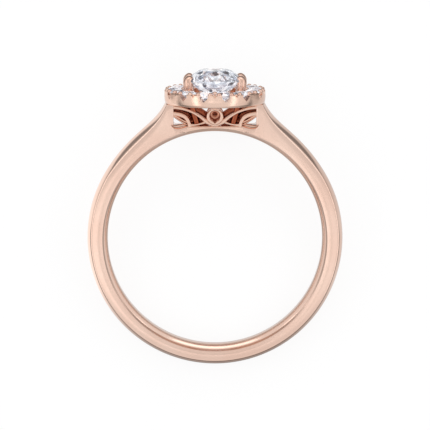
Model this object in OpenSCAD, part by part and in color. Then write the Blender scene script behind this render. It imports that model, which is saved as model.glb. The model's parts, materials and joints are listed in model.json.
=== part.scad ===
// Halo ring, lying on its side as it would be left on a table.
// It is drawn standing, with the finger along Y and the head up, and laid down at the end.

/* [Band] */
// Inside diameter, the size of the finger
inner_d = 17.3; // [15:0.1:21]
// Width of the band along the finger
band_w = 2.2; // [1.8:0.1:3]
// Thickness of the band at its middle
band_t = 1.65; // [1.4:0.05:2.2]
// Height of the crown on the outside of the band
crown_h = 0.3; // [0.1:0.05:0.4]
// Width of the straight land inside the band
land_w = 0.9; // [0.6:0.1:1.4]
// How far the inside edges curve away from the finger
comfort_drop = 0.45; // [0.15:0.05:0.5]

/* [Shoulders] */
// Angle above the middle of the ring where a shoulder starts to rise
shoulder_start = 30; // [20:1:40]
// Height of the ridge along a shoulder, where it is sharpest
ridge_h = 0.45; // [0.3:0.05:0.6]
// Thickness of a shoulder where it meets the halo
shoulder_t = 0.65; // [0.5:0.05:0.9]
// Radius in the corner between a shoulder and its foot
corner_r = 0.4; // [0.2:0.05:0.5]
// Thickness of the foot of a shoulder above the finger, at the middle of the ring
foot_t = 0.5; // [0.4:0.05:0.6]

/* [Halo] */
// Diameter of the halo at its widest
halo_d = 8.16; // [8:0.02:8.6]
// How much smaller its underside is in radius
halo_taper = 0.08; // [0:0.02:0.1]
// Height of the halo's wall
halo_h = 1.05; // [0.95:0.05:1.3]
// Height of the halo's underside above the finger
halo_rise = 2.25; // [2.1:0.05:3]
// Diameter of the opening under the centre stone
opening_d = 4.6; // [4.4:0.1:4.8]
// Height of the straight part of the halo's wall below its widest line
halo_lip = 0.6; // [0.4:0.05:0.8]

/* [Halo stones] */
// Number of stones in the halo
halo_stone_n = 14; // [10:1:14]
// Diameter of a halo stone
halo_stone_d = 1.27; // [1.1:0.01:1.3]
// Width of the cut in the wall in front of a stone
cut_w = 0.76; // [0.5:0.02:0.9]
// Depth of that cut below the top of the halo
cut_h = 0.46; // [0.4:0.02:0.6]
// Extra depth of the notch at the bottom of the cut
notch_h = 0.12; // [0.06:0.02:0.2]
// Diameter of the hole drilled under a halo stone
azure_d = 0.6; // [0.4:0.05:0.8]
// Diameter of a bead between two halo stones
bead_d = 0.48; // [0.3:0.02:0.54]

/* [Centre stone] */
// Diameter of the centre stone
stone_d = 4.5; // [4.3:0.05:4.7]
// Height of its girdle above the top of the halo
stone_lift = 0.85; // [0.8:0.05:1.4]

/* [Prongs] */
// Diameter of a prong
prong_d = 0.78; // [0.65:0.01:0.9]
// Angle between a prong and the line of the shoulders
prong_angle = 24; // [20:1:45]
// Distance from the middle of the head to the foot of a prong
prong_foot = 1.35; // [1.2:0.05:1.5]
// Height of a prong's tip above the girdle of the centre stone
prong_tip = 0.42; // [0.3:0.02:0.6]
// Angle by which a claw is bent over from upright
claw_angle = 60; // [50:1:70]

/* [Gallery] */
// Thickness of a pierced panel along the finger
panel_t = 0.5; // [0.4:0.05:0.6]
// Width of the two arms that leave the roundel
arm_w = 0.26; // [0.2:0.02:0.34]
// Width of the scroll wires
scroll_w = 0.22; // [0.16:0.02:0.28]
// Diameter of the roundel
roundel_d = 1.42; // [1.3:0.02:1.6]
// Width of the opening in the roundel
roundel_hole = 0.84; // [0.6:0.02:0.9]
// Gap between the base rail and the roundel's lowest point
roundel_gap = 0.07; // [0.02:0.01:0.12]
// How far the roundel stands proud of the band's side face
roundel_proud = 0.14; // [0.05:0.01:0.2]
// Height of a base rail above the finger
rail_h = 0.47; // [0.45:0.01:0.6]
// How far a base rail lies behind the band's side face
rail_inset = 0.08; // [0.04:0.02:0.2]
// Half the length of a base rail, out to its seam with the shank
seam_x = 2.2; // [2:0.05:2.4]

/* [Stone cut] */
// Width of a stone's table, as a share of its diameter
table_share = 0.545; // [0.5:0.005:0.6]
// Angle of the crown's main facets
crown_angle = 35; // [30:0.5:36]
// Angle of the pavilion's main facets
pavilion_angle = 40.8; // [40:0.2:42]
// Thickness of the girdle, as a share of the diameter
girdle_share = 0.025; // [0.01:0.005:0.04]
// Gap between a stone and the metal that holds it
stone_gap = 0.03; // [0.02:0.01:0.06]

/* [Hidden] */

gold = [0.89, 0.68, 0.58];
white_stone = [0.93, 0.95, 0.98];

// Steps of a full turn, on large curves and on small ones
fine = 96;
small = 32;
// Length by which a cut runs past what it cuts, and by which soldered metal runs into its neighbour
past = 1;
bite = 0.1;

inner_r = inner_d / 2;
outer_r = inner_r + band_t;
face_r = outer_r - crown_h;
half_w = band_w / 2;

// Heights above the middle of the ring
halo_low = inner_r + halo_rise;
halo_top = halo_low + halo_h;
rail_top = inner_r + rail_h;
foot_top = inner_r + foot_t;
girdle_z = halo_top + stone_lift;

halo_r = halo_d / 2;
halo_low_r = halo_r - halo_taper;

// Shape of a round brilliant, as shares of its diameter and measured from the middle of its girdle
star_share = 0.5;
lower_half_share = 0.78;
crown_share = (1 - table_share) / 2 * tan(crown_angle);
pavilion_share = tan(pavilion_angle) / 2;
table_z = girdle_z + stone_d * (crown_share + girdle_share / 2);
table_r = stone_d * table_share / 2;

// Beads stand this far in from the edges of the halo
bead_inset = 0.05;

// A halo stone stands just inside the wall, with its table a little above the top of the halo
wall_left = 0.14;
halo_stone_r = halo_r - wall_left - halo_stone_d / 2;
halo_stone_z = halo_top - halo_stone_d * girdle_share;

// The sweep of a shoulder: it leaves the band slowly, turns up steeply below the halo
// and ends a little way inside the halo's metal
top_inset = 0.07;
top_bury = 0.2;
top_x = halo_low_r - top_inset;
top_z = halo_low + top_bury;
top_angle = atan2(top_z, top_x);
shoulder_gain = norm([top_x, top_z]) - outer_r;
slow_share = 0.36;
slow_power = 2;
steep_power = 8;
seam_angle = acos(seam_x / norm([seam_x, rail_top]));
window_x = top_x - shoulder_t;

// A claw, as shares of the prong's diameter: how far out it stands, its tip's width and its length
claw_out_share = 0.12;
claw_tip_share = 0.6;
claw_length_share = 0.62;

// The opening in a roundel, as shares of half its width: a round top over a pointed foot
hole_rise_share = 0.17;
hole_top_share = 0.92;
hole_side_share = 0.9;
hole_foot_share = 1.35;

// How much of a quarter turn the finger hole's rounded edge takes, as a share
edge_share = 0.98;

// Step along a curve that gives its direction
curve_step = 0.01;

// Lying down: the back edge of the band's foot and the back edge of the halo touch the table
lie_angle = atan2(halo_low_r - half_w, halo_low + face_r);
lie_height = half_w * cos(lie_angle) + face_r * sin(lie_angle);
crown_reach = max([for (p = crown_points(outer_r, crown_h)) p[0] * cos(lie_angle) - p[1] * sin(lie_angle)]);
head_reach = table_z * cos(lie_angle) + table_r * sin(lie_angle);
lie_shift = (crown_reach - head_reach) / 2;

// Points of the band's outside, from one side face to the other, as [radius, place along the finger]
function crown_points(top_r, rise, n = 8) =
    [for (i = [0:n]) let (u = 2 * i / n - 1) [top_r - rise * u * u, u * half_w]];

// Section of the band, which reaches inside the finger hole that is cut out later
function band_section(top_r, rise) =
    concat([[inner_r - past, -half_w]], crown_points(top_r, rise), [[inner_r - past, half_w]]);

// How far along a shoulder an angle lies, from 0 at its start to 1 under the halo
function along(a) = min(1, max(0, (a - shoulder_start) / (top_angle - shoulder_start)));

function shoulder_r(a) =
    let (s = along(a))
    a >= top_angle
        ? top_z / sin(a)
        : outer_r + shoulder_gain
            * (slow_share * pow(s, slow_power) + (1 - slow_share) * pow(s, steep_power));

function shoulder_ridge(a) = crown_h + (ridge_h - crown_h) * sin(180 * along(a));

// Point of a cubic curve with four control points
function curve_point(c, t) =
    pow(1 - t, 3) * c[0] + 3 * t * pow(1 - t, 2) * c[1] + 3 * t * t * (1 - t) * c[2] + pow(t, 3) * c[3];

function unit(v) = v / norm(v);

// Point at the side of the curve, half a wire away from its middle line
function beside(c, t, d) =
    let (v = unit(curve_point(c, min(1, t + curve_step)) - curve_point(c, max(0, t - curve_step))))
    curve_point(c, t) + d * [-v[1], v[0]];

// Lays the standing ring down on its back
module lie() {
    translate([0, lie_shift, lie_height])
        rotate([lie_angle - 90, 0, 0])
            children();
}

// Turns a flat drawing in X and Y so that it stands, and gives it a depth from y0 to y1
module stand_up(y0, y1) {
    translate([0, y1, 0])
        rotate([90, 0, 0])
            linear_extrude(height = y1 - y0)
                children();
}

// What is drawn at the right and in front, made at both sides or at both ends
module both_sides() {
    children();
    mirror([1, 0, 0])
        children();
}

module front_and_back() {
    children();
    mirror([0, 1, 0])
        children();
}

// Angles of the band's sections, from the right seam round the bottom to the left seam
function section_angles(shoulder_steps = 18, band_steps = 40) =
    let (
        rise = seam_angle - shoulder_start,
        right = [for (i = [0:shoulder_steps]) seam_angle - rise * i / shoulder_steps],
        sweep = 180 + 2 * shoulder_start,
        bottom = [for (i = [1:band_steps]) shoulder_start - sweep * i / band_steps],
        left = [for (i = [1:shoulder_steps]) -180 - shoulder_start - rise * i / shoulder_steps]
    )
    concat(right, bottom, left);

// The same place on the right side of the ring
function mirrored(a) = a < -90 ? -180 - a : a;

// Band and both shoulders in one sweep, before the finger hole is cut
module shank_blank() {
    angles = section_angles();
    rings = [for (a = angles)
        let (section = band_section(shoulder_r(mirrored(a)), shoulder_ridge(mirrored(a))))
        [for (p = section) [p[0] * cos(a), p[1], p[0] * sin(a)]]];
    steps = len(rings) - 1;
    n = len(rings[0]);
    sides = [for (i = [0:steps - 1], j = [0:n - 1])
        let (k = (j + 1) % n)
        [i * n + j, i * n + k, (i + 1) * n + k, (i + 1) * n + j]];
    start_cap = [for (j = [0:n - 1]) n - 1 - j];
    end_cap = [for (j = [0:n - 1]) steps * n + j];
    polyhedron(points = [for (ring = rings, p = ring) p], faces = concat([start_cap, end_cap], sides));
}

// Opening between the shoulders, with rounded corners above their feet
module head_window() {
    stand_up(-half_w - past, half_w + past) {
        translate([-window_x, foot_top + corner_r])
            square([2 * window_x, top_z + past - foot_top]);
        translate([corner_r - window_x, foot_top])
            square([2 * (window_x - corner_r), top_z + past - foot_top]);
        for (side = [-1, 1])
            translate([side * (window_x - corner_r), foot_top + corner_r])
                circle(r = corner_r, $fn = small);
    }
}

// Hole for the finger: a straight land with edges that curve away from it
module finger_hole() {
    steps = 5;
    edge = [for (i = [0:steps])
        let (u = i / steps, drop = comfort_drop * (1 - sqrt(1 - u * u * edge_share)))
        [inner_r + drop, land_w / 2 + u * (half_w - land_w / 2)]];
    last = edge[steps];
    half = concat(edge, [[last[0] + past, last[1] + past]]);
    back = [for (i = [len(half) - 1:-1:0]) [half[i][0], -half[i][1]]];
    rotate([90, 0, 0])
        rotate_extrude($fn = fine)
            polygon(concat([[0, -last[1] - past]], [for (p = back) p], half, [[0, last[1] + past]]));
}

// Front rail under the gallery
module base_rail() {
    reach = seam_x + bite;
    stand_up(rail_inset - half_w, rail_inset - half_w + panel_t)
        translate([-reach, inner_r - past])
            square([2 * reach, rail_h + past]);
}

// A flat wire of even width along a curve, given by four points as shares of the panel's size
module wire(shares, w) {
    steps = 12;
    c = [for (p = shares) [p[0] * window_x, rail_top + p[1] * (halo_low - rail_top)]];
    one = [for (i = [0:steps]) beside(c, i / steps, w / 2)];
    other = [for (i = [steps:-1:0]) beside(c, i / steps, -w / 2)];
    polygon(concat(one, other));
}

// Wires of half a panel, from the middle of the ring towards a shoulder.
// Columns are shares of the way out to the shoulder and of the height from rail to halo.
arm_shares = [[0.18, 0.18], [0.40, 0.50], [0.61, 0.76], [1.02, 0.79]];
scroll_shares = [[0.56, -0.02], [0.70, 0.34], [0.57, 0.58], [1.02, 0.62]];
spur_shares = [[1.02, 0.50], [0.90, 0.40], [0.80, 0.20], [0.62, 0.15]];
petal_shares = [[0.60, 0.06], [0.49, 0.03], [0.36, 0.09], [0.18, 0.21]];

// Front gallery: two arms, scrolls, spurs and petals beside an open roundel
module gallery_panel() {
    roundel_z = rail_top + roundel_gap + roundel_d / 2;
    hole_r = roundel_hole / 2;
    back_y = bite / 2 - half_w + panel_t;
    difference() {
        union() {
            stand_up(bite / 2 - half_w, back_y)
                both_sides() {
                    wire(arm_shares, arm_w);
                    wire(scroll_shares, scroll_w);
                    wire(spur_shares, scroll_w);
                    wire(petal_shares, scroll_w);
                }
            stand_up(-half_w - roundel_proud, back_y) {
                translate([0, roundel_z])
                    circle(d = roundel_d, $fn = small);
                translate([-roundel_d / 4, rail_top - bite])
                    square([roundel_d / 2, roundel_d / 2]);
            }
        }
        stand_up(-half_w - past, back_y + bite)
            translate([0, roundel_z + hole_r * hole_rise_share]) {
                circle(r = hole_r * hole_top_share, $fn = small);
                polygon(hole_r * [[-hole_side_share, 0], [0, -hole_foot_share], [hole_side_share, 0]]);
            }
    }
}

// Wall and floor of the halo, before its seats are cut
module halo_blank() {
    rotate_extrude($fn = fine)
        polygon([
            [opening_d / 2, halo_low],
            [halo_low_r, halo_low],
            [halo_r, halo_low + halo_lip],
            [halo_r, halo_top],
            [opening_d / 2, halo_top]
        ]);
}

// Seat, drilled hole and wall cut of one halo stone that stands at +X
module halo_seat() {
    seat_r = halo_stone_d / 2 + stone_gap;
    seat_h = halo_stone_d * crown_share + bite;
    depth = halo_stone_d * pavilion_share;
    cut_r = cut_w / 2;
    translate([halo_stone_r, 0, 0]) {
        translate([0, 0, halo_stone_z - halo_stone_d * girdle_share])
            cylinder(r = seat_r, h = seat_h, $fn = small);
        translate([0, 0, halo_stone_z - halo_stone_d * girdle_share - depth])
            cylinder(r1 = 0, r2 = seat_r, h = depth, $fn = small);
        translate([0, 0, halo_low - past])
            cylinder(d = azure_d, h = past + halo_h / 2, $fn = small);
        translate([0, 0, halo_top - cut_h + cut_r])
            rotate([0, 90, 0])
                cylinder(r = cut_r, h = halo_stone_d, $fn = small);
        translate([0, -cut_r, halo_top - cut_h + cut_r])
            cube([halo_stone_d, cut_w, past]);
        translate([0, 0, halo_top - cut_h - notch_h])
            rotate([45, 0, 0])
                cube([halo_stone_d, cut_r, cut_r]);
    }
}

// Beads outside and inside the row of stones, between two of them
module halo_beads() {
    for (r = [halo_r - bead_inset - bead_d / 2, opening_d / 2 + bead_inset + bead_d / 2])
        translate([r, 0, halo_top])
            sphere(d = bead_d, $fn = small);
}

module around_halo(offset_share) {
    for (i = [0:halo_stone_n - 1])
        rotate([0, 0, (i + offset_share) * 360 / halo_stone_n - 90])
            children();
}

// Room for a round stone and the gap round it, with its girdle at the origin
module stone_room(d) {
    r = d / 2 + stone_gap;
    girdle = d * girdle_share / 2 + stone_gap;
    below = r * tan(pavilion_angle);
    above = r * (1 - table_share) * tan(crown_angle);
    translate([0, 0, -girdle - below])
        cylinder(r1 = 0, r2 = r, h = below, $fn = fine);
    translate([0, 0, -girdle])
        cylinder(r = r, h = 2 * girdle, $fn = fine);
    translate([0, 0, girdle])
        cylinder(r1 = r, r2 = r * table_share, h = above, $fn = fine);
}

// One prong at +X: a leaning post, a round tip and a claw bent over the crown
module prong() {
    foot_z = inner_r - past / 2;
    head_x = stone_d / 2 + prong_d * claw_out_share;
    head_z = girdle_z + prong_tip - prong_d / 2;
    lean = atan2(head_x - prong_foot, head_z - foot_z);
    length = norm([head_x - prong_foot, head_z - foot_z]);
    translate([prong_foot, 0, foot_z])
        rotate([0, lean, 0])
            cylinder(d = prong_d, h = length, $fn = small);
    translate([head_x, 0, head_z])
        sphere(d = prong_d, $fn = small);
    translate([head_x, 0, head_z])
        rotate([0, -claw_angle, 0])
            cylinder(
                d1 = prong_d, d2 = prong_d * claw_tip_share, h = prong_d * claw_length_share, $fn = small
            );
}

// Band, shoulders, rails and pierced panels, with the finger hole
module shank() {
    difference() {
        union() {
            difference() {
                shank_blank();
                head_window();
            }
            front_and_back() {
                base_rail();
                gallery_panel();
            }
        }
        finger_hole();
    }
}

// The halo and the prongs, with seats for the small stones and room for the centre stone
module head() {
    difference() {
        union() {
            halo_blank();
            around_halo(0)
                halo_beads();
            front_and_back()
                both_sides()
                    rotate([0, 0, prong_angle])
                        prong();
        }
        around_halo(0.5)
            halo_seat();
        finger_hole();
        translate([0, 0, girdle_z])
            stone_room(stone_d);
    }
}

// Everything that is soldered into one piece of gold
module setting() {
    lie()
        color(gold) {
            shank();
            head();
        }
}

// Round brilliant of diameter d: table, stars, kites, girdle halves, girdle, lower halves and mains
module brilliant(d) {
    r = d / 2;
    g = d * girdle_share / 2;
    table = d * table_share / 2;
    crown = d * crown_share;
    deep = d * pavilion_share;
    half = 180 / 8;
    star_r = table * cos(half) + star_share * (r - table * cos(half));
    star_z = g + crown - (star_r * cos(half) - table) * crown / (r - table);
    low_r = r * (1 - lower_half_share);
    low_z = -g - deep + low_r * cos(half) * deep / r;
    points = concat(
        [for (i = [0:7]) [table * cos(45 * i), table * sin(45 * i), g + crown]],
        [for (i = [0:7]) [star_r * cos(45 * i + half), star_r * sin(45 * i + half), star_z]],
        [for (i = [0:15]) [r * cos(half * i), r * sin(half * i), g]],
        [for (i = [0:15]) [r * cos(half * i), r * sin(half * i), -g]],
        [for (i = [0:7]) [low_r * cos(45 * i + half), low_r * sin(45 * i + half), low_z]],
        [[0, 0, -g - deep]]
    );
    star = 8;
    upper = 16;
    lower = 32;
    low = 48;
    culet = 56;
    faces = concat(
        [[for (i = [0:7]) 7 - i]],
        [for (i = [0:7]) [i, (i + 1) % 8, star + i]],
        [for (i = [0:7]) [i, star + i, upper + 2 * i, star + (i + 7) % 8]],
        [for (i = [0:7]) [star + i, upper + 2 * i + 1, upper + 2 * i]],
        [for (i = [0:7]) [star + i, upper + (2 * i + 2) % 16, upper + 2 * i + 1]],
        [for (i = [0:15]) [upper + i, upper + (i + 1) % 16, lower + (i + 1) % 16, lower + i]],
        [for (i = [0:7]) [low + i, lower + 2 * i, lower + 2 * i + 1]],
        [for (i = [0:7]) [low + i, lower + 2 * i + 1, lower + (2 * i + 2) % 16]],
        [for (i = [0:7]) [culet, low + (i + 7) % 8, lower + 2 * i, low + i]]
    );
    polyhedron(points = points, faces = faces);
}

module center_stone() {
    lie()
        color(white_stone)
            translate([0, 0, girdle_z])
                brilliant(stone_d);
}

// Halo stones are numbered from the front of the ring, the first one just right of the middle
module halo_stone(i) {
    lie()
        color(white_stone)
            rotate([0, 0, (i - 0.5) * 360 / halo_stone_n - 90])
                translate([halo_stone_r, 0, halo_stone_z])
                    brilliant(halo_stone_d);
}

setting();
center_stone();
for (i = [1:halo_stone_n])
    halo_stone(i);
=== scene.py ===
"""A rose gold halo ring, lying on its side on a pale surface in soft studio light.

Every length below is in millimetres and in the ring's standing frame: X to the right, Y along the
finger from the front gallery to the back one, and Z from the middle of the finger hole to the head.
place() lays the ring down on the surface, in metres.
"""

import json
import math

import bmesh
import bpy
import numpy as np
from mathutils import Matrix, Vector


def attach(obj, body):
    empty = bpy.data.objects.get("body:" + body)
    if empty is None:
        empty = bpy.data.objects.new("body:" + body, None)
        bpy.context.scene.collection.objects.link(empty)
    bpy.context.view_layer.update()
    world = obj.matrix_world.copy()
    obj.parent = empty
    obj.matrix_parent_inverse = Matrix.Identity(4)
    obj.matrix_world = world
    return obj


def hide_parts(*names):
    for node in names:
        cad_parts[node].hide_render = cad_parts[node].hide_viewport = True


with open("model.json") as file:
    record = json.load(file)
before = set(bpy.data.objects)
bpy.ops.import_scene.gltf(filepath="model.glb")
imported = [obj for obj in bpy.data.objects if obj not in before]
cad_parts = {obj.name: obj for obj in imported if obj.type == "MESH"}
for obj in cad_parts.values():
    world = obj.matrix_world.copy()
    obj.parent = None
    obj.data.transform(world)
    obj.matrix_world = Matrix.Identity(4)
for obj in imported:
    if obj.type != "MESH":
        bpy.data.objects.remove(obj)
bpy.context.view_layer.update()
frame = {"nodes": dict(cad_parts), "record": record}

# Where the ring lies
MM = 0.001
finger = next(m for m in frame["record"]["mounts"] if m["name"] == "finger")
CENTRE = np.array(finger["pos_m"])
TO_RIGHT = np.array([1.0, 0.0, 0.0])
TO_BACK = -np.array(finger["axis"])
TO_HEAD = np.cross(TO_RIGHT, TO_BACK)

# Band. Its inside is a straight land that curves away by the comfort drop and ends in a bevel, which
# has a share of the drop. The drop is more at the foot, and less at the head, by the foot drop.
INNER_R = finger["dims"]["r_mm"]
HALF_W = 1.1
BAND_T = 1.65
OUTER_R = INNER_R + BAND_T
CROWN_H = 0.3
LAND_W = 0.9
COMFORT_DROP = 0.42
FOOT_DROP = 0.11
BEVEL_SHARE = 0.27
BEVEL_DEPTH = 0.18
EDGE = 0.13
FACE_ROLL = 0.02
ROLL_REACH = 0.42
CROWN_STEPS = 16

# Rails under the gallery
RAIL_TOP = INNER_R + 0.47
RAIL_FRONT = -1.02
RAIL_BACK = -0.32
RAIL_EDGE = 0.06
RAIL_ROLL = 0.04
SEAM_X = 2.2
SEAM_LAP = 0.1

# Shoulders
SHOULDER_START = 30.0
RIDGE_H = 0.45
CORNER_R = 0.2
FOOT_T = 0.5
SLOW_SHARE = 0.36
SLOW_POWER = 2
STEEP_POWER = 8
TOP_INSET = 0.07
TOP_RISE = 0.2
HOLD_ANGLE = 50.0

# How far the inner line is past the window's wall, in degrees, where the outer line starts across
# the top, starts down the wall, and starts and ends its turn round the corner
WALL_FAN = (-2.0, -1.7, -0.1, 2.6)

# Halo. The cuts, notches and vees are seen from outside, and nothing is cut below the solid height.
HALO_R = 4.08
HALO_LOW_R = 4.0
HALO_LOW = INNER_R + 2.25
HALO_TOP = HALO_LOW + 1.05
HALO_LIP = 0.6
LOW_EDGE = 0.10
RIM_EDGE = 0.12
LIP_EDGE = 0.08
OPENING_R = 2.3
STONE_N = 14
STONE_D = 1.27
STONE_INSET = 0.14
STONE_SINK = 0.032
STONE_CIRCLE_R = HALO_R - STONE_INSET - STONE_D / 2
STONE_Z = HALO_TOP - STONE_SINK
GIRDLE_HALF = 0.03
SEAT_GAP = 0.03
PAVILION_SLOPE = math.tan(math.radians(40.8))
CUT_R = 0.32
CUT_H = 0.46
NOTCH_H = 0.12
SOLID_H = 0.3
AZURE_R = 0.3
AZURE_BELOW = 0.5
AZURE_TOP = 0.525
BEAD_R = 0.22
BEAD_INSET = 0.05
PAIR_R = 0.18
PAIR_GAP = 0.36
PAIR_LIFT = 0.07
GRAIN_H = 0.72
VEE_HALF = 0.19
VEE_DEPTH = 0.24
VEE_INSET = 0.3

# Centre stone and prongs
CENTRE_STONE_R = 2.25
GIRDLE_Z = HALO_TOP + 0.85
CROWN_SLOPE = math.tan(math.radians(35.0))
TABLE_SHARE = 0.545
GIRDLE_SHARE = 0.025
PRONG_R = 0.42
LEG_R = 0.26
PRONG_ANGLE = 24.0
PRONG_FOOT = 1.35
PRONG_ROOT = INNER_R - 0.1
PRONG_TIP = 0.42
PRONG_OUT = 0.12
LEG_BLEND = 0.3
KNEE_INSET = 0.04
KNEE_Z = HALO_LOW + 0.5
CLAW_BEND_R = 0.24
CLAW_BEND_H = 0.55 * CLAW_BEND_R
CLAW_TURN = 52.0
CLAW_TAPER = 0.86
THIN = 0.001

# Gallery
PANEL_T = 0.72
PANEL_FRONT = -1.05
PANEL_Y = PANEL_FRONT + PANEL_T / 2
ROUNDEL_R = 0.71
ROUNDEL_LIFT = 0.07
ROUNDEL_Z = RAIL_TOP + ROUNDEL_LIFT + ROUNDEL_R
ROUNDEL_FRONT = -1.24
ROUNDEL_POWER = 0.62
HOLE_R = 0.42
BACK_HOLE_R = 0.012
HOLE_LIFT = 0.17
HOLE_ROUND = 0.92
WEDGE_HALF = 0.9
WEDGE_FOOT = 1.35
WINDOW_X = 3.33
ARM_PROUD = 0.03
STRAND_BEHIND = 0.01
CURL_Y = -HALF_W + 0.12
CURL_T = 0.40
GROOVE_T = 0.52
SEAM_T = 0.36
WIRE_POINTS = 28
WIRE_STEPS = 40

# Wires of the gallery, as shares of the window's half width and of the height from rail to halo
ARM = [(0.18, 0.18), (0.40, 0.50), (0.61, 0.80), (1.02, 0.87)]
LINK = [(0.21, 0.18), (0.14, 0.14), (0.08, 0.07), (0.0, 0.03)]
SCROLL = [(0.60, -0.02), (0.66, 0.30), (0.66, 0.50), (1.02, 0.58)]
STRAND = [(1.00, 0.50), (0.91, 0.42), (0.83, 0.30), (0.68, 0.17)]
SPUR = [(1.02, 0.49), (0.93, 0.35), (0.85, 0.22), (0.68, 0.08)]
PETAL = [(0.60, 0.06), (0.49, 0.03), (0.36, 0.09), (0.18, 0.21)]
CURL = [(0.66, 0.09), (0.80, 0.04), (0.95, -0.06), (1.06, 0.06)]
GROOVE = [(0.67, -0.01), (0.80, -0.07), (0.97, -0.20), (1.05, 0.04)]
SEAM = [(0.665, 0.06), (0.665, -0.10), (0.665, -0.20), (0.665, -0.34)]
COLLAR = [(0.0, 0.80), (0.0, 0.88), (0.0, 0.95), (0.0, 1.02)]


def place(points):
    """Row frame in metres: centre plus x to the right, y to the back and z to the head."""
    return CENTRE + MM * (np.asarray(points, float) @ np.array([TO_RIGHT, TO_BACK, TO_HEAD]))


def turned(points, degrees):
    """The points, in an array of any shape, turned about the head's axis, Z, by an angle."""
    a = math.radians(degrees)
    turn = np.array([[math.cos(a), math.sin(a), 0], [-math.sin(a), math.cos(a), 0], [0, 0, 1]])
    return (points.reshape(-1, 3) @ turn).reshape(points.shape)


def mirrored(part, axis):
    """The part with the sign of one coordinate changed, and its faces turned round to match."""
    points, faces = part
    flip = np.ones(3)
    flip[axis] = -1
    return points * flip, [f[:, ::-1] for f in faces]


def both_ways(parts, axis):
    """The parts and their mirror images."""
    return parts + [mirrored(p, axis) for p in parts]


def quadratic(t, start, middle, end):
    """A quadratic curve from start to end, drawn towards the middle."""
    return (1 - t) ** 2 * start + 2 * t * (1 - t) * middle + t * t * end


def skin(rings, loop=False):
    """Quads between neighbouring rings of points; open ends are closed by fans to their middles."""
    steps, n, _ = rings.shape
    i = np.arange(steps if loop else steps - 1)[:, None]
    j = np.arange(n)[None, :]
    here, there = i * n, (i + 1) % steps * n
    after = (j + 1) % n
    quads = np.stack([here + j, here + after, there + after, there + j], axis=-1).reshape(-1, 4)
    points = rings.reshape(-1, 3)
    if loop:
        return points, [quads]
    j = np.arange(n)
    after = (j + 1) % n
    last = (steps - 1) * n
    middles = np.array([rings[0].mean(axis=0), rings[-1].mean(axis=0)])
    first_fan = np.stack([after, j, np.full(n, len(points))], axis=-1)
    last_fan = np.stack([last + j, last + after, np.full(n, len(points) + 1)], axis=-1)
    return np.concatenate([points, middles]), [quads, first_fan, last_fan]


# Edges above these angles, in degrees, are shaded as sharp ones
SHARP = 38.0
SHANK_SHARP = 18.0
HALO_SHARP = 32.0


def make_piece(name, parts, material, sharp=SHARP):
    """One object from closed parts: doubles merged, normals outwards, edges above an angle sharp."""
    starts = np.cumsum([0] + [len(points) for points, _ in parts])
    corners = []
    for start, (_, faces) in zip(starts, parts):
        for f in faces:
            corners += (f + start).tolist()
    mesh = bpy.data.meshes.new(name)
    mesh.from_pydata(place(np.concatenate([points for points, _ in parts])).tolist(), [], corners)
    shape = bmesh.new()
    shape.from_mesh(mesh)
    bmesh.ops.remove_doubles(shape, verts=shape.verts, dist=0.0002 * MM)
    bmesh.ops.recalc_face_normals(shape, faces=shape.faces)
    shape.to_mesh(mesh)
    shape.free()
    piece = bpy.data.objects.new(name, mesh)
    bpy.context.scene.collection.objects.link(piece)
    finish_piece(piece, material, sharp)
    return piece


def finish_piece(piece, material, sharp):
    """Gives the piece its one material, with smooth shading up to an angle."""
    mesh = piece.data
    mesh.materials.clear()
    mesh.materials.append(material)
    mesh.shade_smooth()
    mesh.set_sharp_from_angle(angle=math.radians(sharp))


def carve(piece, cutter, material, sharp=SHARP):
    """Takes the cutter's closed shape out of the piece, and removes the cutter."""
    cut = piece.modifiers.new("cut", "BOOLEAN")
    cut.operation = "DIFFERENCE"
    cut.solver = "MANIFOLD"
    cut.object = cutter
    bpy.context.view_layer.update()
    graph = bpy.context.evaluated_depsgraph_get()
    done = bpy.data.meshes.new_from_object(piece.evaluated_get(graph))
    piece.modifiers.clear()
    old = piece.data
    piece.data = done
    done.name = piece.name
    bpy.data.meshes.remove(old)
    bpy.data.objects.remove(cutter)
    finish_piece(piece, material, sharp)


# Materials

# Width along the finger over which the painted shade inside the head fades in
PAINTED_SHADE_FADE = 0.12


def add_node(tree, kind, at=(0, 0), settings=(), **inputs):
    """A node at a place in the tree, with its settings and the values of its inputs."""
    made = tree.nodes.new(kind)
    made.location = at
    for name, value in dict(settings).items():
        setattr(made, name, value)
    for name, value in inputs.items():
        made.inputs[name.replace("_", " ")].default_value = value
    return made


def ranged(tree, value, at, span, ends=(0.0, 1.0)):
    """A value carried from its span over to a pair of ends, and held at the ends outside it."""
    made = add_node(tree, "ShaderNodeMapRange", at, From_Min=span[0], From_Max=span[1],
                    To_Min=ends[0], To_Max=ends[1])
    tree.links.new(value, made.inputs["Value"])
    return made.outputs["Result"]


def reckoned(tree, operation, at, *values):
    """The outcome of a math node on values that are links or plain numbers."""
    made = add_node(tree, "ShaderNodeMath", at, [("operation", operation)])
    for socket, value in zip(made.inputs, values):
        if isinstance(value, float):
            socket.default_value = value
        else:
            tree.links.new(value, socket)
    return made.outputs["Value"]


def ramp_through(tree, at, stops):
    """A colour ramp through stops of (place, colour)."""
    ramp = add_node(tree, "ShaderNodeValToRGB", at)
    for spot, _ in stops[1:-1]:
        ramp.color_ramp.elements.new(spot)
    for element, (spot, tone) in zip(ramp.color_ramp.elements, stops):
        element.position = spot
        element.color = (*tone, 1)
    return ramp


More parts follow.
